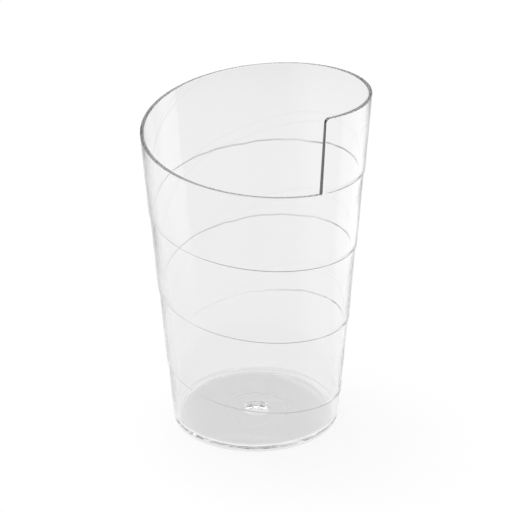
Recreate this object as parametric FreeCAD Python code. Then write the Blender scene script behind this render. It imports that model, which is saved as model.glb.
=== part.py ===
import FreeCAD, Part
import math
import os
from FreeCAD import Placement, Rotation, Vector

# A clear injection-moulded shot glass, one piece of polystyrene. Its rim winds once round the cup
# as a spiral and drops back to its start in one upright step. The line of the rim goes on down the
# outside as a fine ledge, because each turn of the wall stands a little proud of the turn below it.
#
# Frame: millimetres, +Z up, the cup's axis on Z and its foot on Z = 0. The front is -Y.

# Wall
RIM_DIAMETER = 50.0        # outside, at the head of the step
BASE_DIAMETER = 35.9       # outside, at the table
STEP_FOOT = 61.5           # height of the rim at the foot of the step
PITCH = 17.6               # rise of the spiral in one turn: the height of the step
STEP_AZIMUTH = 36.0        # degrees from the front, towards +X
HEAD_RADIUS = 1.0          # rounding of the corner at the head of the step
LEDGE = 0.25               # how far each turn of the wall stands proud of the turn below
WALL = 0.8                 # thickness at the rim, which is the thinnest place of a turn

# Floor
FLOOR = 0.7                # thickness
CORNER_RADIUS = 1.6        # fillet between the floor and the inside of the wall
FOOT_WIDTH = 1.6           # width of the ring that the cup stands on
FOOT_DEPTH = 0.2           # how far the underside is set up inside that ring
PANEL_DIAMETER = 14.0      # round panel in the middle of the underside
PANEL_DEPTH = 0.15         # how far the panel is set into the underside
DOME_DIAMETER = 6.0        # dome over the injection gate, in the middle of the floor
DOME_HEIGHT = 0.8          # rise of the dome above the floor
GATE_DIAMETER = 1.6        # stub of the injection gate, under the dome
GATE_LENGTH = 0.4

HEIGHT = STEP_FOOT + PITCH
FLOOR_TOP = FOOT_DEPTH + FLOOR
LIP_SLOPE = (RIM_DIAMETER / 2 + LEDGE - BASE_DIAMETER / 2) / HEIGHT
LIP_ANGLE = math.atan(LIP_SLOPE)
TURNS = math.ceil(STEP_FOOT / PITCH) + 1
STRIPS = 2                 # a turn of the wall is this many strips, one above the other
TINY = 1e-3
AXIS = Vector(0, 0, 1)


def lip_radius(height):
    """Radius of the outside of the wall where the ledge passes at this height."""
    return BASE_DIAMETER / 2 + LIP_SLOPE * height


def inner_radius(height):
    """Radius of the smooth inside of the wall."""
    return lip_radius(height) - LEDGE - WALL


def at_step(radius, height):
    """The point with this radius and height in the upright plane of the step."""
    angle = math.radians(STEP_AZIMUTH - 90)
    return Vector(radius * math.cos(angle), radius * math.sin(angle), height)


def spiral_turn(start, inset):
    """One left-handed turn up from the step's azimuth, on the cone of the lips less an inset."""
    rise = PITCH / math.cos(LIP_ANGLE)
    turn = Part.makeHelix(rise, rise, lip_radius(start) - inset, math.degrees(LIP_ANGLE), True)
    turn.Placement = Placement(Vector(0, 0, start), Rotation(AXIS, STEP_AZIMUTH - 90))
    return turn.Edges[0]


def wall_lines(start):
    """Height and inset of each seam in one turn of the wall, from its ledge up to the next one."""
    shares = [strip / STRIPS for strip in range(STRIPS + 1)]
    return [(start + PITCH * share, LEDGE * share) for share in shares]


def band(start):
    """One turn of the wall, straight in section, ruled strip by strip."""
    lines = [spiral_turn(height, inset) for height, inset in wall_lines(start)]
    return [Part.makeRuledSurface(below, above) for below, above in zip(lines, lines[1:])]


def ledge(start):
    """The underside by which one turn of the wall stands proud of the turn below it."""
    return Part.makeRuledSurface(spiral_turn(start, LEDGE), spiral_turn(start, 0))


def ramp(start):
    """The spiral stair from the axis to the outside of the wall, one turn up from a height."""
    spine = Part.makeLine(Vector(0, 0, start), Vector(0, 0, start + PITCH))
    return Part.makeRuledSurface(spine, spiral_turn(start, LEDGE))


def riser(start):
    """The upright face that joins the low end of a ramp to its high end."""
    corners = [Vector(0, 0, start), at_step(lip_radius(start) - LEDGE, start)]
    corners += [at_step(lip_radius(height) - inset, height) for height, inset in wall_lines(start)]
    corners += [Vector(0, 0, start + PITCH), Vector(0, 0, start)]
    return Part.Face(Part.makePolygon(corners))


def filled_outside():
    """The outside of the cup as one solid, from the rim down to the table."""
    starts = [STEP_FOOT - PITCH * turn for turn in range(1, TURNS + 1)]
    faces = [strip for start in starts for strip in band(start)]
    faces += [ledge(start) for start in starts]
    for end in (STEP_FOOT, starts[-1]):
        faces += [ramp(end), riser(end)]
    skin = Part.Compound(faces)
    skin.sewShape()
    blank = Part.makeSolid(skin.Shells[0])
    side = 4 * RIM_DIAMETER
    above_table = Part.makeBox(side, side, side, Vector(-side / 2, -side / 2, 0))
    return blank.common(above_table)


def turned(outline):
    """A solid of revolution round the cup's axis from a closed list of edges."""
    return Part.Face(Part.Wire(outline)).revolve(Vector(0, 0, 0), AXIS, 360)


def polyline(points):
    return [Part.makeLine(a, b) for a, b in zip(points, points[1:])]


def cap_arc(radius, base, rise):
    """Arc in the XZ plane from the top of a dome of this rise down to its edge."""
    ball = (radius ** 2 + rise ** 2) / (2 * rise)
    half = math.asin(radius / ball) / 2
    middle = Vector(ball * math.sin(half), 0, base + rise - ball * (1 - math.cos(half)))
    return Part.Arc(Vector(0, 0, base + rise), middle, Vector(radius, 0, base)).toShape()


def inside():
    """The space in the cup: the smooth cone of the mould's core, with the dome left standing."""
    top = HEIGHT + PITCH
    dome = DOME_DIAMETER / 2
    lean = LIP_ANGLE
    # The fillet touches the floor at start and the leaning wall at end.
    centre_z = FLOOR_TOP + CORNER_RADIUS
    centre_x = inner_radius(centre_z) - CORNER_RADIUS / math.cos(lean)
    centre = Vector(centre_x, 0, centre_z)
    start = Vector(centre_x, 0, FLOOR_TOP)
    end = centre + Vector(math.cos(lean), 0, -math.sin(lean)) * CORNER_RADIUS
    mid_angle = (lean + math.pi / 2) / 2
    middle = centre + Vector(math.cos(mid_angle), 0, -math.sin(mid_angle)) * CORNER_RADIUS
    outline = [cap_arc(dome, FLOOR_TOP, DOME_HEIGHT)]
    outline += polyline([Vector(dome, 0, FLOOR_TOP), start])
    outline += [Part.Arc(start, middle, end).toShape()]
    outline += polyline([end, Vector(inner_radius(top), 0, top), Vector(0, 0, top)])
    outline += polyline([Vector(0, 0, top), Vector(0, 0, FLOOR_TOP + DOME_HEIGHT)])
    return turned(outline)


def underside():
    """The space under the floor, inside the foot ring, with the hollow under the dome."""
    dome = DOME_DIAMETER / 2
    panel = PANEL_DIAMETER / 2
    foot = lip_radius(0) - LEDGE - FOOT_WIDTH
    roof = FOOT_DEPTH + PANEL_DEPTH
    low = -FOOT_DEPTH
    outline = [cap_arc(dome, roof, DOME_HEIGHT)]
    outline += polyline([Vector(dome, 0, roof), Vector(panel, 0, roof)])
    outline += polyline([Vector(panel, 0, roof), Vector(panel, 0, FOOT_DEPTH)])
    outline += polyline([Vector(panel, 0, FOOT_DEPTH), Vector(foot, 0, FOOT_DEPTH)])
    outline += polyline([Vector(foot, 0, FOOT_DEPTH), Vector(foot, 0, low)])
    outline += polyline([Vector(foot, 0, low), Vector(0, 0, low), Vector(0, 0, roof + DOME_HEIGHT)])
    return turned(outline)


def gate_stub():
    """What is left of the sprue after it was broken off, from half-way up in the floor."""
    roof = FOOT_DEPTH + PANEL_DEPTH + DOME_HEIGHT
    length = GATE_LENGTH + FLOOR / 2
    return Part.makeCylinder(GATE_DIAMETER / 2, length, Vector(0, 0, roof - GATE_LENGTH))


def rounded_head(cup):
    """The cup with the corner at the head of its step rounded, across the thickness of the rim."""
    corner = Part.Vertex(at_step(lip_radius(HEIGHT) - LEDGE - WALL / 2, HEIGHT))
    near = [edge for edge in cup.Edges if edge.distToShape(corner)[0] < TINY]
    across = [edge for edge in near if edge.Length < WALL + TINY]
    return cup.makeFillet(HEAD_RADIUS, across)


def shot_glass():
    cup = filled_outside().cut(inside()).cut(underside()).fuse(gate_stub())
    return rounded_head(cup.Solids[0])


def main():
    os.makedirs("parts", exist_ok=True)
    cup = shot_glass()
    cup.exportStep("parts/shot_glass.step")
    box = cup.optimalBoundingBox()
    print("shot_glass: valid", cup.isValid(), "faces", len(cup.Faces))
    print("volume", round(cup.Volume, 1), "mm3")
    print("size", round(box.XLength, 2), round(box.YLength, 2), round(box.ZLength, 2), "mm")


main()
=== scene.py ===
"""Looks of the clear spiral shot glass: its fine surface, plastic, studio and camera."""

import math

import bmesh
import bpy
import numpy as np
from mathutils import Matrix, Vector

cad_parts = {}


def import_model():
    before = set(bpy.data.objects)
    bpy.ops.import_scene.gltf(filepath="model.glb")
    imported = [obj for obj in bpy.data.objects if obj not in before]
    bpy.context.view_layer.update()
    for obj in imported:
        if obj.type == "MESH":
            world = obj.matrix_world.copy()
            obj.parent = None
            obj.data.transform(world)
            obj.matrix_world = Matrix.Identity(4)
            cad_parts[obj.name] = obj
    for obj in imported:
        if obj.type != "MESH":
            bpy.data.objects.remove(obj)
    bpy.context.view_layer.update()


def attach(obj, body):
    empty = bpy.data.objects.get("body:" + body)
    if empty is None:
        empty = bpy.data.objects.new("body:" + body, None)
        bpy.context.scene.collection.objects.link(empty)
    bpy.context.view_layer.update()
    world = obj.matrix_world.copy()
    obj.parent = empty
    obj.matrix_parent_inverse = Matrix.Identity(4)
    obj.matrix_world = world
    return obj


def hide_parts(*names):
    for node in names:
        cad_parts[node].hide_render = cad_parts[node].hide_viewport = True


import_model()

# The glass is drawn in millimetres and scaled once. A turn is the angle from the step in degrees,
# counter-clockwise from above; past 360 it means the next coil of the ledge, a pitch lower.
MM = 0.001
FULL = 360.0

# Sizes of the glass, with the names that its solid gives them.
RIM_DIAMETER = 50.0
BASE_DIAMETER = 35.9
STEP_FOOT = 61.5
PITCH = 17.6
STEP_AZIMUTH = 36.0
HEAD_RADIUS = 1.0
LEDGE = 0.25
WALL = 0.8
FLOOR = 0.7
CORNER_RADIUS = 1.0         # tighter than the solid's, as the ring round the floor shows
FOOT_WIDTH = 1.6
FOOT_DEPTH = 0.2
PANEL_DIAMETER = 14.0
PANEL_DEPTH = 0.15
DOME_DIAMETER = 6.0
DOME_HEIGHT = 0.8
GATE_DIAMETER = 1.6
GATE_LENGTH = 0.4

# Edge of the rim and of the step: how far it stands beyond the wall's last row, and its roundings
EDGE_REACH = 0.39
RIM_DROP = 0.2              # how far the rim stays under the solid's
RIM_ROUND = 0.35
FACE_ROUND = 0.22

# Underside of the ledge: a straight lip, then a hollow flare down to the wall below
LIP_DEPTH = 0.32
LIP_SHARE = 0.92            # share of the ledge's width that the lip takes
LIP_END = 1165.0            # the turn, near the foot, that the lip wears down towards
LIP_FADE = 30.0             # degrees over which it would wear away
LIP_LOW = 0.5               # the share of it that stays
FLARE = 1.6
FLARE_POWER = 4.0
FLARE_START = 6.0           # degrees over which the flare grows, beside the foot of the step
FLARE_ROWS = (0.05, 0.12, 0.2, 0.3, 0.45, 0.65, 1.0)    # as shares of its hollow part

# Wander of the ledge on the back: its reach, then share, rate and start of each wave
LEDGE_SWAY = 0.14
SWAYS = ((0.6, 0.153, 0.4), (0.4, 0.31, 2.0), (0.3, 0.53, 1.0))

# Strip of painted shade above the ledge at both sides, a grey line for its dark edge: its width, and
# where it lies by the cosine of the azimuth
EDGE_STRIP = 0.12
STRIP_FRONT = 0.85
STRIP_BACK = -0.45
STRIP_FADE = 0.3

# Roundings of the underside and the dome
HEEL_ROUND = 0.15
FOOT_ROUND = 0.05
PANEL_ROUND = 0.06
GATE_ROUND = 0.1
DOME_ROUND = 0.15

# Lumps of torn plastic on the dome: their places, reach and height
LUMPS = ((-1.5, -0.3), (0.0, 0.2), (1.5, -0.5))
LUMP_REACH = 0.7
LUMP_HEIGHT = 0.4
LUMP_WHITE_GLINT = 0.8            # above this share of the height the plastic is whitened, which is partly a painted highlight

# Fineness of the mesh
COLUMNS = 360               # once round the cup
COLUMN_GAP = 0.3            # least degrees between the head of the step and the next column
WALL_ROWS = 4               # inside each stretch of wall
SPARE_HEIGHT = 1.0          # how far the skins run on below the table before they are cut
ARC_STEPS = 4
HEAD_STEPS = 10
CORNER_STEPS = 8
DOME_STEPS = 14
HOLD = 0.03                 # gap to the row beside an edge, which keeps its shading crisp
TOUCH = 2e-4                # points nearer than this are one
LEVEL = 1e-4                # heights nearer than this are the same
TINY = 1e-5

# Materials of the mesh, in this order
CLEAR, FROSTED, SHADED_EDGE, WHITENED_GLINT = range(4)
FROST_MARGIN = 3            # faces at each side of the step's edge that stay clear

# Plastic: its greys, shares of haze, and absorption per metre
IOR = 1.59
SHADE = 0.99
HAZE = 0.003
FROST = 0.2
# Strip of painted shade above the ledge: its share of haze and its grey
STRIP_SHADE_HAZE = 0.6
EDGE_SHADE = 0.35
# whitened plastic on the lump tops, partly stress-whitening and partly a painted highlight
GATE_WHITE_GLINT = 0.6
ABSORPTION = 6.5

# Flow waves of the wall, in metres, and the polish of every surface
WAVE = 0.00005
WAVE_SCALE = 60.0
WAVE_DETAIL = 1.0
WAVE_FOOT = (0.004, 0.012)  # heights over which they begin
WAVE_TILT = (0.12, 0.3)     # leans, from 0 for an upright surface, over which they end
POLISH_SCALE = 90.0
POLISH_DETAIL = 4.0
POLISH_SPAN = (0.3, 0.7)    # of the noise
POLISH = (0.0, 0.03)        # roughness over that span

# Floor, in metres: what the camera sees, what shows through the plastic and in its mirror, and
# the light that it gives
FLOOR_REACH = 2.0           # from the middle to each side
FLOOR_SEEN = 0.88
FLOOR_PAINT = 0.125
FLOOR_MIRRORED = 1.0
FLOOR_LIGHT = 0.8
# through the plastic, a painted pool of light: brighter near the cup, darker far off
THROUGH_NEAR = 0.88
THROUGH_FAR = 0.6
FLOOR_FADE = (0.15, 0.3)
THROUGH_UNDER_SHADOW = 0.75        # painted shadow under the cup
UNDER_FADE = (0.018, 0.02)
THROUGH_RIGHT_LIGHT = 0.04        # painted light on the whole right
RIGHT_FADE = (0.008, 0.018)
THROUGH_SIDE_LIGHT = 0.5          # painted light on a strip at the right, behind the cup's middle
SIDE_FADE = (0.02, 0.1)
SIDE_EDGE = (0.007, 0.011)
SIDE_END = (0.07, 0.12)

# World, by the height of the ray's way, from 0 at the horizon to 1 overhead
SKY_SEEN = 1.0
SKY_MIRRORED = 0.3
SKY_LIGHT = 0.8
SKY_LOW = 0.9
SKY_HIGH = 0.3
SKY_FADE = (0.0, 0.07)
SKY_TOP = 2.0
TOP_FADE = (0.5, 0.6)

# Soft box, in metres
LAMP_SIZE = 0.5
LAMP_LEVEL = 6.0            # brightness of its face
LAMP_WAY = (-0.15, 0.2, 0.97)
LAMP_REACH = 1.0

# Camera, in degrees and millimetres; its aim is where the middle of the foot lies in its view
CAMERA_ELEVATION = 26.608
CAMERA_ROLL = 0.433
CAMERA_DISTANCE = 754.684
CAMERA_AIM_X = 0.03
CAMERA_AIM_Y = -33.816
CAMERA_LENS = 243.475
SENSOR = 36.0
CLIP_START = 0.05           # metres
CLIP_END = 20.0

BOUNCES = 64

HEIGHT = STEP_FOOT + PITCH
FLOOR_TOP = FOOT_DEPTH + FLOOR
GATE_LOW = FOOT_DEPTH + PANEL_DEPTH + DOME_HEIGHT - GATE_LENGTH
RIM_RADIUS = RIM_DIAMETER / 2
LIP_SLOPE = (RIM_RADIUS + LEDGE - BASE_DIAMETER / 2) / HEIGHT
TURN_SLOPE = LIP_SLOPE - LEDGE / PITCH
HELIX_SLOPE = math.atan(PITCH / (2 * math.pi * RIM_RADIUS))
EDGE_DROP = EDGE_REACH / math.cos(HELIX_SLOPE) + RIM_DROP
FACE_TURN = math.degrees(EDGE_REACH / RIM_RADIUS)


def edge_height(turn):
    """Height of the helix that the ledge follows."""
    return STEP_FOOT - PITCH * turn / FULL


def frontness(turn):
    """1 at the front of the glass, 0 at its sides and -1 at its back."""
    return np.cos(np.radians(STEP_AZIMUTH + turn))


def ledge_height(turn):
    """Height of the ledge's edge, which wanders a little on the back of the glass."""
    back = np.clip(-frontness(turn), 0, 1)
    sway = sum(share * np.sin(rate * turn + start) for share, rate, start in SWAYS)
    return edge_height(turn) + LEDGE_SWAY * back * sway


def lip_radius(z):
    """Outside radius of the ledge where it passes height z."""
    return BASE_DIAMETER / 2 + LIP_SLOPE * z


def outer_radius(turn, z):
    """Outside radius at height z on the stretch of wall that stands on the edge at this turn."""
    edge = edge_height(turn)
    return lip_radius(edge) + TURN_SLOPE * (z - edge)


def inner_radius(z):
    """Radius of the smooth inside of the wall."""
    return lip_radius(z) - LEDGE - WALL


def place(turn, radius, z):
    """Points in space, from the front (-Y) towards +X."""
    azimuth = np.radians(STEP_AZIMUTH + turn)
    azimuth, radius, z = np.broadcast_arrays(azimuth, radius, z)
    return np.stack([radius * np.sin(azimuth), -radius * np.cos(azimuth), z], -1)


def quarter(steps):
    return np.linspace(0.0, math.pi / 2, steps + 1)


def head_arc():
    """The rounded head of the step: each point's turn, height and way out of the wall."""
    angle = np.linspace(math.pi, math.pi / 2 - HELIX_SLOPE, HEAD_STEPS + 1)
    way = np.stack([np.cos(angle), np.sin(angle)], -1)
    drop = math.tan(HELIX_SLOPE) + 1 / math.cos(HELIX_SLOPE)
    centre = np.array([HEAD_RADIUS, HEIGHT - RIM_DROP - HEAD_RADIUS * drop])
    point = centre + (HEAD_RADIUS - EDGE_REACH) * way
    return np.degrees(point[:, 0] / RIM_RADIUS), point[:, 1], way


def turn_columns():
    """Turns of the columns of one whole turn, from just right of the step to it again."""
    arc = head_arc()[0]
    even = np.arange(1, COLUMNS + 1) * FULL / COLUMNS
    return np.concatenate([arc, even[even > arc[-1] + COLUMN_GAP]])


def ribbon_columns():
    """Turns of all columns of the wall, until the ledge is below the table everywhere."""
    one = turn_columns()
    last = (HEIGHT + SPARE_HEIGHT) / PITCH
    every = np.concatenate([one + FULL * k for k in range(math.ceil(last) + 1)])
    return every[every < FULL * last]


def flare_depth(turn):
    """How far the flare under a ledge reaches down; it is short beside the step's foot."""
    share = np.clip((turn - FACE_TURN) / FLARE_START, 0.0, 1.0)
    return EDGE_DROP + (FLARE - EDGE_DROP) * share * share * (3 - 2 * share)


def flare_shares():
    """Rows below a ledge's edge, as shares of the flare: its straight lip and its hollow tail."""
    lip = LIP_DEPTH / FLARE
    hold = HOLD / FLARE
    tail = lip + (1 - lip) * np.array(FLARE_ROWS)
    return np.concatenate([[hold, lip - hold, lip, lip + hold], tail])


def skin_top(turn):
    """Height at which the straight wall ends, under the rim, the head arc or a ledge's root."""
    arc_turn, arc_z, _ = head_arc()
    root = ledge_height(turn - FULL) - flare_depth(turn - FULL)
    rim = edge_height(turn) + PITCH - EDGE_DROP
    top = np.where(turn > FULL + FACE_TURN, root, rim)
    return np.where(turn < arc_turn[-1], np.interp(turn, arc_turn, arc_z), top)


def strip_width(turn):
    """Width of the strip of painted shade above a ledge, which only the sides of the glass have."""
    front = frontness(turn)
    behind_front = np.clip((STRIP_FRONT - front) / STRIP_FADE, 0, 1)
    before_back = np.clip((front - STRIP_BACK) / STRIP_FADE, 0, 1)
    return EDGE_STRIP * behind_front * before_back


def wall_shares(turn):
    """Rows of the wall of each column, as shares of its height, down to the ledge's edge."""
    hold = HOLD / PITCH
    inner = np.linspace(0.0, 1.0, WALL_ROWS + 2)[1:-1]
    above = np.tile(np.concatenate([[0.0, hold], inner]), (len(turn), 1))
    strip = 1 - np.maximum(strip_width(turn), 2 * HOLD) / PITCH
    below = np.tile([1 - hold, 1.0], (len(turn), 1))
    return np.concatenate([above, strip, below], 1)


def strip_slots(turn, rows):
    """Material of each face of the outside: painted shade on the two rows just above a ledge."""
    edge = wall_shares(turn[:1, None]).shape[1] - 1
    row = np.arange(rows)
    strip = (row >= edge - 2) & (row < edge)
    return np.where(strip & (strip_width(turn)[:, None] > 2 * HOLD), SHADED_EDGE, CLEAR)


def outer_skin(turn):
    """Rows of the outside at each turn: straight wall, lip of the ledge and flare below it."""
    turn = turn[:, None]
    edge = ledge_height(turn)
    top = skin_top(turn)
    wall_z = top + wall_shares(turn) * (edge - top)
    down = flare_shares()[None, :]
    flare_z = edge - flare_depth(turn) * down
    share = LIP_SHARE * np.clip((LIP_END - turn) / LIP_FADE, LIP_LOW, 1.0)
    lip = share * np.clip(1 - down * FLARE / LIP_DEPTH, 0.0, 1.0)
    flare_out = LEDGE * (lip + (1 - share) * (1 - down) ** FLARE_POWER)
    radius = np.concatenate([
        outer_radius(turn, wall_z),
        outer_radius(turn + FULL, flare_z) + flare_out], 1)
    return radius, np.concatenate([wall_z, flare_z], 1)


class Skin:
    """Collects grids and rings of points into one mesh, in millimetres."""

    def __init__(self):
        self.mesh = bmesh.new()

    def grid(self, points, slots, closed=False):
        """Faces between rows of points; slots gives the material of each."""
        rows = [[self.mesh.verts.new(p) for p in row] for row in points.tolist()]
        pairs = list(zip(rows, rows[1:]))
        if closed:
            pairs.append((rows[-1], rows[0]))
        for (one, two), row_slots in zip(pairs, slots.tolist()):
            for a, b, c, d, slot in zip(one, two, two[1:], one[1:], row_slots):
                self.mesh.faces.new((a, b, c, d)).material_index = slot

    def weld(self):
        bmesh.ops.remove_doubles(self.mesh, verts=self.mesh.verts, dist=TOUCH)

    def cut_below(self, z):
        """Takes away what lies below height z and gives the corners of the open edge."""
        everything = self.mesh.verts[:] + self.mesh.edges[:] + self.mesh.faces[:]
        bmesh.ops.bisect_plane(
            self.mesh, geom=everything, dist=TINY,
            plane_co=(0, 0, z), plane_no=(0, 0, 1), clear_inner=True)
        return self.low_loop(z)

    def low_loop(self, z):
        """The corners of the open edge that lies at height z, in order."""
        border = [e for e in self.mesh.edges
                  if len(e.link_faces) == 1 and all(abs(v.co.z - z) < LEVEL for v in e.verts)]
        near = {}
        for edge in border:
            for vert in edge.verts:
                near.setdefault(vert, []).append(edge)
        edge = border[0]
        vert = edge.verts[0]
        loop = []
        while True:
            loop.append(vert)
            vert = edge.other_vert(vert)
            if vert is loop[0]:
                return loop
            edge = [e for e in near[vert] if e is not edge][0]

    def carry(self, loop, rings):
        """Carries a loop on through rings, each an inset from it or a radius, with a height."""
        reach = [math.hypot(v.co.x, v.co.y) for v in loop]
        start = loop
        for inset, radius, z in rings:
            ring = []
            for vert, far in zip(start, reach):
                share = (radius if inset is None else far - inset) / far
                ring.append(self.mesh.verts.new((vert.co.x * share, vert.co.y * share, z)))
            self.bridge(loop, ring)
            loop = ring
        return loop

    def bridge(self, one, two):
        for k, vert in enumerate(one):
            self.mesh.faces.new((one[k - 1], vert, two[k], two[k - 1]))

    def cap(self, loop, z):
        """Closes a loop with a fan of faces round a point on the axis."""
        centre = self.mesh.verts.new((0, 0, z))
        for k, vert in enumerate(loop):
            self.mesh.faces.new((loop[k - 1], vert, centre))


def rounded(corners):
    """A profile through (radius, height, rounding) corners, with an arc at each rounded one."""
    points = [corners[0][:2]]
    for before, here, after in zip(corners, corners[1:], corners[2:]):
        points += arc_at(np.array(before[:2]), np.array(here[:2]), np.array(after[:2]), here[2])
    points.append(corners[-1][:2])
    return [(None, float(r), float(z)) for r, z in points]


def arc_at(before, here, after, size):
    """Points of the arc that rounds one corner, with a held point on each side of it."""
    if not size:
        return [here]
    back = (before - here) / np.linalg.norm(before - here)
    ahead = (after - here) / np.linalg.norm(after - here)
    half = math.acos(float(np.clip(back @ ahead, -1, 1))) / 2
    reach = size / math.tan(half)
    middle = (back + ahead) / np.linalg.norm(back + ahead)
    centre = here + middle * size / math.sin(half)
    first = here + back * reach - centre
    last = here + ahead * reach - centre
    swing = math.pi - 2 * half
    points = [here + back * (reach + HOLD)]
    for a in np.linspace(0.0, swing, ARC_STEPS + 1):
        share = (math.sin(swing - a) * first + math.sin(a) * last) / math.sin(swing)
        points.append(centre + share)
    points.append(here + ahead * (reach + HOLD))
    return points


def cap_height(radius):
    """Height of the dome above its rim at this radius: a cap of a ball."""
    rim = DOME_DIAMETER / 2
    ball = (rim ** 2 + DOME_HEIGHT ** 2) / (2 * DOME_HEIGHT)
    return math.sqrt(ball ** 2 - radius ** 2) - (ball - DOME_HEIGHT)


def dome_profile(base, inner):
    """Corners up the dome from its rim to just before the inner radius."""
    radii = np.linspace(DOME_DIAMETER / 2, inner, DOME_STEPS + 1)[:-1]
    corners = [(r, base + cap_height(r), 0.0) for r in radii]
    corners[0] = (DOME_DIAMETER / 2, base, DOME_ROUND)
    return corners


def underside_rings():
    """Heel, foot ring, recess, panel, hollow under the dome and gate stub."""
    heel = [(HEEL_ROUND * (1 - math.cos(a)), None, HEEL_ROUND * (1 - math.sin(a)))
            for a in quarter(ARC_STEPS)[1:]]
    heel.append((HEEL_ROUND + HOLD, None, 0.0))
    foot = BASE_DIAMETER / 2 - LEDGE - FOOT_WIDTH
    panel = PANEL_DIAMETER / 2
    base = FOOT_DEPTH + PANEL_DEPTH
    gate = GATE_DIAMETER / 2
    corners = [
        (foot + FOOT_WIDTH / 2, 0.0, 0.0),
        (foot, 0.0, FOOT_ROUND),
        (foot, FOOT_DEPTH, FOOT_ROUND),
        (panel, FOOT_DEPTH, PANEL_ROUND),
        (panel, base, PANEL_ROUND)]
    corners += dome_profile(base, gate)
    corners += [
        (gate, base + cap_height(gate), GATE_ROUND),
        (gate, GATE_LOW, GATE_ROUND),
        (gate / 2, GATE_LOW, 0.0)]
    return heel + rounded(corners)


def floor_rings():
    """Fillet inside the foot of the wall, flat floor and dome."""
    top = FLOOR_TOP + CORNER_RADIUS
    fillet = [(CORNER_RADIUS * (1 - math.cos(a)), None, top - CORNER_RADIUS * math.sin(a))
              for a in quarter(CORNER_STEPS)[1:]]
    fillet.append((CORNER_RADIUS + HOLD, None, FLOOR_TOP))
    middle = (inner_radius(top) + DOME_DIAMETER / 2) / 2
    return fillet + rounded([(middle, FLOOR_TOP, 0.0)] + dome_profile(FLOOR_TOP, 0.0))


def outside_skin():
    """Outside of the wall and the underside."""
    turn = ribbon_columns()
    radius, z = outer_skin(turn)
    skin = Skin()
    skin.grid(place(turn[:, None], radius, z), strip_slots(turn, z.shape[1]))
    skin.weld()
    loop = skin.cut_below(HEEL_ROUND)
    loop = skin.carry(loop, underside_rings())
    skin.cap(loop, GATE_LOW)
    return skin


def inside_skin():
    """Inside of the wall, and the floor with the torn gate on its dome."""
    turn = ribbon_columns()
    z = outer_skin(turn)[1]
    skin = Skin()
    skin.grid(place(turn[:, None], inner_radius(z), z)[:, ::-1], np.full(z.shape, CLEAR))
    skin.weld()
    loop = skin.cut_below(FLOOR_TOP + CORNER_RADIUS)
    loop = skin.carry(loop, floor_rings())
    skin.cap(loop, FLOOR_TOP + DOME_HEIGHT)
    for vert in skin.mesh.verts:
        if vert.co.z < FLOOR_TOP + 2 * DOME_HEIGHT:
            vert.co.z += gate_mark(vert.co.x, vert.co.y)
    return skin


def gate_mark(x, y):
    """Height of the torn plastic left on the dome, in three small lumps."""
    lumps = (math.exp(-((x - a) ** 2 + (y - b) ** 2) / LUMP_REACH ** 2) for a, b in LUMPS)
    return LUMP_HEIGHT * max(lumps)


def is_whitened_glint(spot):
    """Whether a face is on top of a lump, whitened there and partly a painted highlight, and not on
    the underside of the dome.
    """
    low = GATE_LOW + GATE_LENGTH + GATE_ROUND
    if not low <= spot.z <= FLOOR_TOP + 2 * DOME_HEIGHT:
        return False
    return gate_mark(spot.x, spot.y) > LUMP_WHITE_GLINT * LUMP_HEIGHT


def rim_path():
    """The border of both skins: along the head arc and the rim, then up the step's face."""
    arc_turn, arc_z, arc_way = head_arc()
    rim = np.append(turn_columns()[len(arc_turn):], FULL + arc_turn[0])
    rim_z = edge_height(rim) + PITCH - EDGE_DROP
    rim_way = np.tile([math.sin(HELIX_SLOPE), math.cos(HELIX_SLOPE)], (len(rim), 1))
    # the mitre between the rim and the step's face
    rim_way[-1] = (-1.0, (1 + math.sin(HELIX_SLOPE)) / math.cos(HELIX_SLOPE))
    # up the wall's first column, without its two ends
    face_radius, face_z = (rows[0, -2:0:-1] for rows in outer_skin(arc_turn[:1]))
    face_turn = np.full(len(face_z), arc_turn[0])
    face_way = np.tile([-1.0, 0.0], (len(face_z), 1))
    face = len(arc_turn) + len(rim) - 1
    turn = np.concatenate([arc_turn, rim, face_turn])
    radius = np.concatenate([outer_radius(arc_turn, arc_z), outer_radius(rim, rim_z), face_radius])
    z = np.concatenate([arc_z, rim_z, face_z])
    way = np.concatenate([arc_way, rim_way, face_way])
    rounding = np.full(len(turn), RIM_ROUND)
    rounding[:len(arc_turn)] = np.linspace(FACE_ROUND, RIM_ROUND, len(arc_turn))
    rounding[face:] = FACE_ROUND
    on_face = np.arange(len(turn)) >= face
    return turn, radius, z, way, rounding, on_face


def rim_skin():
    """The edge with two roundings that joins both skins round the rim and the step."""
    *path, on_face = rim_path()
    turn, radius, z, way, rounding = (a[:, None] if a.ndim == 1 else a[:, None, :] for a in path)
    angle = quarter(ARC_STEPS)[None, :]
    straight = EDGE_REACH - rounding
    rise = straight + rounding * np.sin(angle)
    inset = rounding * (1 - np.cos(angle))
    flat = np.zeros_like(rounding)
    rise = np.concatenate([flat, straight - HOLD / 2, rise, flat + EDGE_REACH], 1)
    inset = np.concatenate([flat, flat, inset, rounding + HOLD], 1)
    across = turn + np.degrees(way[..., 0] * rise / RIM_RADIUS)
    up = way[..., 1] * rise
    outer = place(across, radius + TURN_SLOPE * up - inset, z + up)
    inner = place(across, inner_radius(z) + LIP_SLOPE * up + inset, z + up)
    points = np.concatenate([outer, inner[:, ::-1]], 1)
    row = np.arange(points.shape[1] - 1)
    middle = (row >= FROST_MARGIN) & (row < len(row) - FROST_MARGIN)
    skin = Skin()
    skin.grid(points, np.where(on_face[:, None] & middle, FROSTED, CLEAR), closed=True)
    return skin


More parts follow.
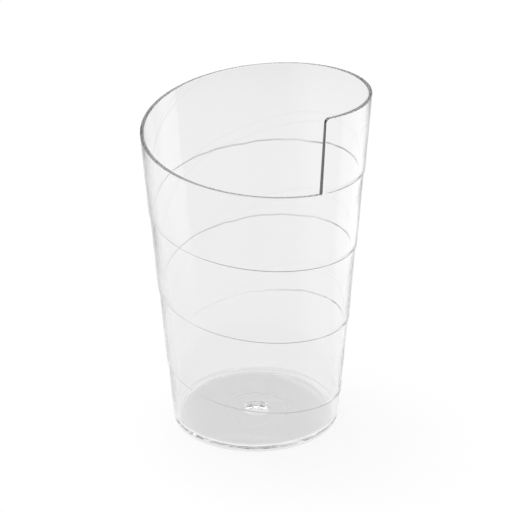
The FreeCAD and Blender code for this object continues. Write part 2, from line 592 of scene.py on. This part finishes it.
def glass_mesh():
    """The three skins welded into one closed mesh, in metres."""
    whole = bmesh.new()
    for skin in (outside_skin(), inside_skin(), rim_skin()):
        part = bpy.data.meshes.new("part")
        skin.mesh.to_mesh(part)
        whole.from_mesh(part)
        bpy.data.meshes.remove(part)
        skin.mesh.free()
    bmesh.ops.remove_doubles(whole, verts=whole.verts, dist=TOUCH)
    bmesh.ops.dissolve_degenerate(whole, edges=whole.edges, dist=TINY)
    bmesh.ops.recalc_face_normals(whole, faces=whole.faces)
    # the lump tops are whitened, partly as a painted highlight
    for face in whole.faces:
        if is_whitened_glint(face.calc_center_median()):
            face.material_index = WHITENED_GLINT
    bmesh.ops.scale(whole, vec=(MM, MM, MM), verts=whole.verts)
    mesh = bpy.data.meshes.new("clear_shot_glass")
    whole.to_mesh(mesh)
    whole.free()
    mesh.shade_smooth()
    return mesh


def nodes_of(owner):
    owner.use_nodes = True
    owner.node_tree.nodes.clear()
    return owner.node_tree


def add(tree, kind, **values):
    node = tree.nodes.new(kind)
    for name, value in values.items():
        setattr(node, name, value)
    return node


def math_node(tree, operation, one, two=0.0):
    node = add(tree, "ShaderNodeMath", operation=operation)
    for socket, value in zip(node.inputs, (one, two)):
        if isinstance(value, (int, float)):
            socket.default_value = value
        else:
            tree.links.new(value, socket)
    return node.outputs[0]


def product(tree, first, *more):
    for value in more:
        first = math_node(tree, "MULTIPLY", first, value)
    return first


def ramp(tree, value, span, levels, kind="SMOOTHSTEP"):
    """Goes from one level to the other while the value crosses the span."""
    node = add(tree, "ShaderNodeMapRange", interpolation_type=kind)
    tree.links.new(value, node.inputs["Value"])
    for name, number in zip(("From Min", "From Max", "To Min", "To Max"), (*span, *levels)):
        node.inputs[name].default_value = number
    return node.outputs[0]


def xyz(tree, vector):
    split = add(tree, "ShaderNodeSeparateXYZ")
    tree.links.new(vector, split.inputs[0])
    return split.outputs


def noise(tree, spot, scale, detail):
    node = add(tree, "ShaderNodeTexNoise")
    node.inputs["Scale"].default_value = scale
    node.inputs["Detail"].default_value = detail
    tree.links.new(spot, node.inputs["Vector"])
    return node.outputs["Fac"]


def flow_waves(tree, spot):
    """Faint waves of the moulding, on upright surfaces only and not at the foot."""
    tilt = xyz(tree, add(tree, "ShaderNodeNewGeometry").outputs["True Normal"])["Z"]
    wall = ramp(tree, math_node(tree, "ABSOLUTE", tilt), WAVE_TILT, (1.0, 0.0))
    up = ramp(tree, xyz(tree, spot)["Z"], WAVE_FOOT, (0.0, 1.0))
    bump = add(tree, "ShaderNodeBump")
    bump.inputs["Distance"].default_value = WAVE
    tree.links.new(product(tree, wall, up), bump.inputs["Strength"])
    tree.links.new(noise(tree, spot, WAVE_SCALE, WAVE_DETAIL), bump.inputs["Height"])
    return bump.outputs[0]


def plastic(name, haze, shade=SHADE):
    """Clear polystyrene; its share of haze scatters light as a white, or grey, surface does."""
    material = bpy.data.materials.new(name)
    tree = nodes_of(material)
    out = add(tree, "ShaderNodeOutputMaterial")
    clear = add(tree, "ShaderNodeBsdfPrincipled")
    clear.inputs["Base Color"].default_value = (shade, shade, shade, 1.0)
    clear.inputs["Transmission Weight"].default_value = 1.0 - haze
    clear.inputs["IOR"].default_value = IOR
    spot = add(tree, "ShaderNodeTexCoord").outputs["Object"]
    polish = noise(tree, spot, POLISH_SCALE, POLISH_DETAIL)
    tree.links.new(ramp(tree, polish, POLISH_SPAN, POLISH, "LINEAR"), clear.inputs["Roughness"])
    tree.links.new(flow_waves(tree, spot), clear.inputs["Normal"])
    tree.links.new(clear.outputs[0], out.inputs["Surface"])
    volume = add(tree, "ShaderNodeVolumeAbsorption")
    volume.inputs["Color"].default_value = (0.0, 0.0, 0.0, 1.0)
    volume.inputs["Density"].default_value = ABSORPTION
    tree.links.new(volume.outputs[0], out.inputs["Volume"])
    return material


def glass():
    mesh = glass_mesh()
    piece = bpy.data.objects.new("clear_shot_glass", mesh)
    bpy.context.scene.collection.objects.link(piece)
    mesh.materials.append(plastic("clear_polystyrene", HAZE))
    mesh.materials.append(plastic("frosted_step_face", FROST))
    # grey strip of painted shade along the ledge's edge
    mesh.materials.append(plastic("painted_shade_ledge_edge", STRIP_SHADE_HAZE, EDGE_SHADE))
    # whitened lump tops of the gate, partly stress-whitening and partly a painted highlight
    mesh.materials.append(plastic("whitened_gate_glint", GATE_WHITE_GLINT))
    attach(piece, "root")
    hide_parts("shot_glass")


def level_by_ray(tree, path, seen, through, mirrored, light):
    """Brightness to the camera, through the plastic, mirrored in it, and as light on things."""
    passed = path.outputs["Is Transmission Ray"]
    bounced = math_node(tree, "SUBTRACT", path.outputs["Is Glossy Ray"], passed)
    level = product(tree, path.outputs["Is Camera Ray"], seen)
    for ray, strength in (
            (passed, through), (bounced, mirrored), (path.outputs["Is Diffuse Ray"], light)):
        level = math_node(tree, "MAXIMUM", level, product(tree, ray, strength))
    return level


def world():
    """White to the eye; through plastic it is bright low down and overhead, and dark between."""
    space = bpy.data.worlds.new("studio")
    bpy.context.scene.world = space
    tree = nodes_of(space)
    out = add(tree, "ShaderNodeOutputWorld")
    back = add(tree, "ShaderNodeBackground")
    up = xyz(tree, add(tree, "ShaderNodeTexCoord").outputs["Generated"])["Z"]
    low = ramp(tree, up, SKY_FADE, (SKY_LOW, SKY_HIGH))
    through = math_node(tree, "MAXIMUM", low, ramp(tree, up, TOP_FADE, (0.0, SKY_TOP)))
    path = add(tree, "ShaderNodeLightPath")
    level = level_by_ray(tree, path, SKY_SEEN, through, SKY_MIRRORED, SKY_LIGHT)
    tree.links.new(level, back.inputs["Strength"])
    tree.links.new(back.outputs[0], out.inputs[0])


def floor_through_painted(tree):
    """Brightness of the floor through the plastic, painted with light and shade: darker far off,
    brighter at the right and darker under the cup.
    """
    spot = add(tree, "ShaderNodeTexCoord").outputs["Object"]
    x, y, _ = xyz(tree, spot)
    length = add(tree, "ShaderNodeVectorMath", operation="LENGTH")
    tree.links.new(spot, length.inputs[0])
    reach = length.outputs["Value"]
    strip = product(
        tree, ramp(tree, x, SIDE_FADE, (0.0, THROUGH_SIDE_LIGHT)),
        ramp(tree, y, SIDE_EDGE, (0.0, 1.0)), ramp(tree, y, SIDE_END, (1.0, 0.0)))
    level = ramp(tree, reach, FLOOR_FADE, (THROUGH_NEAR, THROUGH_FAR))
    for more in (
            # painted shadow under the cup
            ramp(tree, reach, UNDER_FADE, (THROUGH_UNDER_SHADOW - THROUGH_NEAR, 0.0)),
            ramp(tree, x, RIGHT_FADE, (0.0, THROUGH_RIGHT_LIGHT)),
            strip):
        level = math_node(tree, "ADD", level, more)
    return level


def floor():
    """A plain pale floor to the camera, whose glow is most of what shows; through the plastic the
    glow carries painted light and shadow, and its paint takes a faint shadow.
    """
    corners = [(x * FLOOR_REACH, y * FLOOR_REACH, 0) for x, y in ((-1, -1), (1, -1), (1, 1), (-1, 1))]
    mesh = bpy.data.meshes.new("studio_floor")
    mesh.from_pydata(corners, [], [(0, 1, 2, 3)])
    plane = bpy.data.objects.new("studio_floor", mesh)
    bpy.context.scene.collection.objects.link(plane)
    material = bpy.data.materials.new("studio_floor")
    mesh.materials.append(material)
    tree = nodes_of(material)
    path = add(tree, "ShaderNodeLightPath")
    glow = add(tree, "ShaderNodeEmission")
    level = level_by_ray(tree, path, FLOOR_SEEN, floor_through_painted(tree), FLOOR_MIRRORED, FLOOR_LIGHT)
    tree.links.new(level, glow.inputs["Strength"])
    paint = add(tree, "ShaderNodeBsdfDiffuse")
    shade = product(tree, path.outputs["Is Camera Ray"], FLOOR_PAINT)
    tree.links.new(shade, paint.inputs["Color"])
    both = add(tree, "ShaderNodeAddShader")
    tree.links.new(glow.outputs[0], both.inputs[0])
    tree.links.new(paint.outputs[0], both.inputs[1])
    out = add(tree, "ShaderNodeOutputMaterial")
    tree.links.new(both.outputs[0], out.inputs["Surface"])


def lamp():
    """A soft box overhead, for soft light and a faint shadow; the plastic doesn't show it."""
    data = bpy.data.lights.new("soft_box", "AREA")
    data.size = LAMP_SIZE
    data.energy = LAMP_LEVEL * math.pi * LAMP_SIZE ** 2
    box = bpy.data.objects.new("soft_box", data)
    box.matrix_world = Vector(LAMP_WAY).to_track_quat("Z", "Y").to_matrix().to_4x4()
    box.matrix_world.translation = Vector(LAMP_WAY).normalized() * LAMP_REACH
    box.visible_transmission = False
    box.visible_glossy = False
    bpy.context.scene.collection.objects.link(box)


def camera():
    tilt = math.radians(90.0 - CAMERA_ELEVATION)
    turned = Matrix.Rotation(tilt, 4, "X") @ Matrix.Rotation(math.radians(-CAMERA_ROLL), 4, "Z")
    back = turned @ Vector((-CAMERA_AIM_X, -CAMERA_AIM_Y, CAMERA_DISTANCE, 1.0))
    data = bpy.data.cameras.new("camera")
    data.sensor_width = SENSOR
    data.lens = CAMERA_LENS
    data.clip_start = CLIP_START
    data.clip_end = CLIP_END
    eye = bpy.data.objects.new("camera", data)
    eye.matrix_world = Matrix.Translation(back.to_3d() * MM) @ turned
    bpy.context.scene.collection.objects.link(eye)
    bpy.context.scene.camera = eye


def light_paths():
    """Light runs round inside the clear floor and rim many times before it leaves them."""
    cycles = bpy.context.scene.cycles
    cycles.max_bounces = BOUNCES
    cycles.glossy_bounces = BOUNCES
    cycles.transmission_bounces = BOUNCES


glass()
floor()
world()
lamp()
camera()
light_paths()
bpy.context.scene.view_settings.view_transform = "Standard"
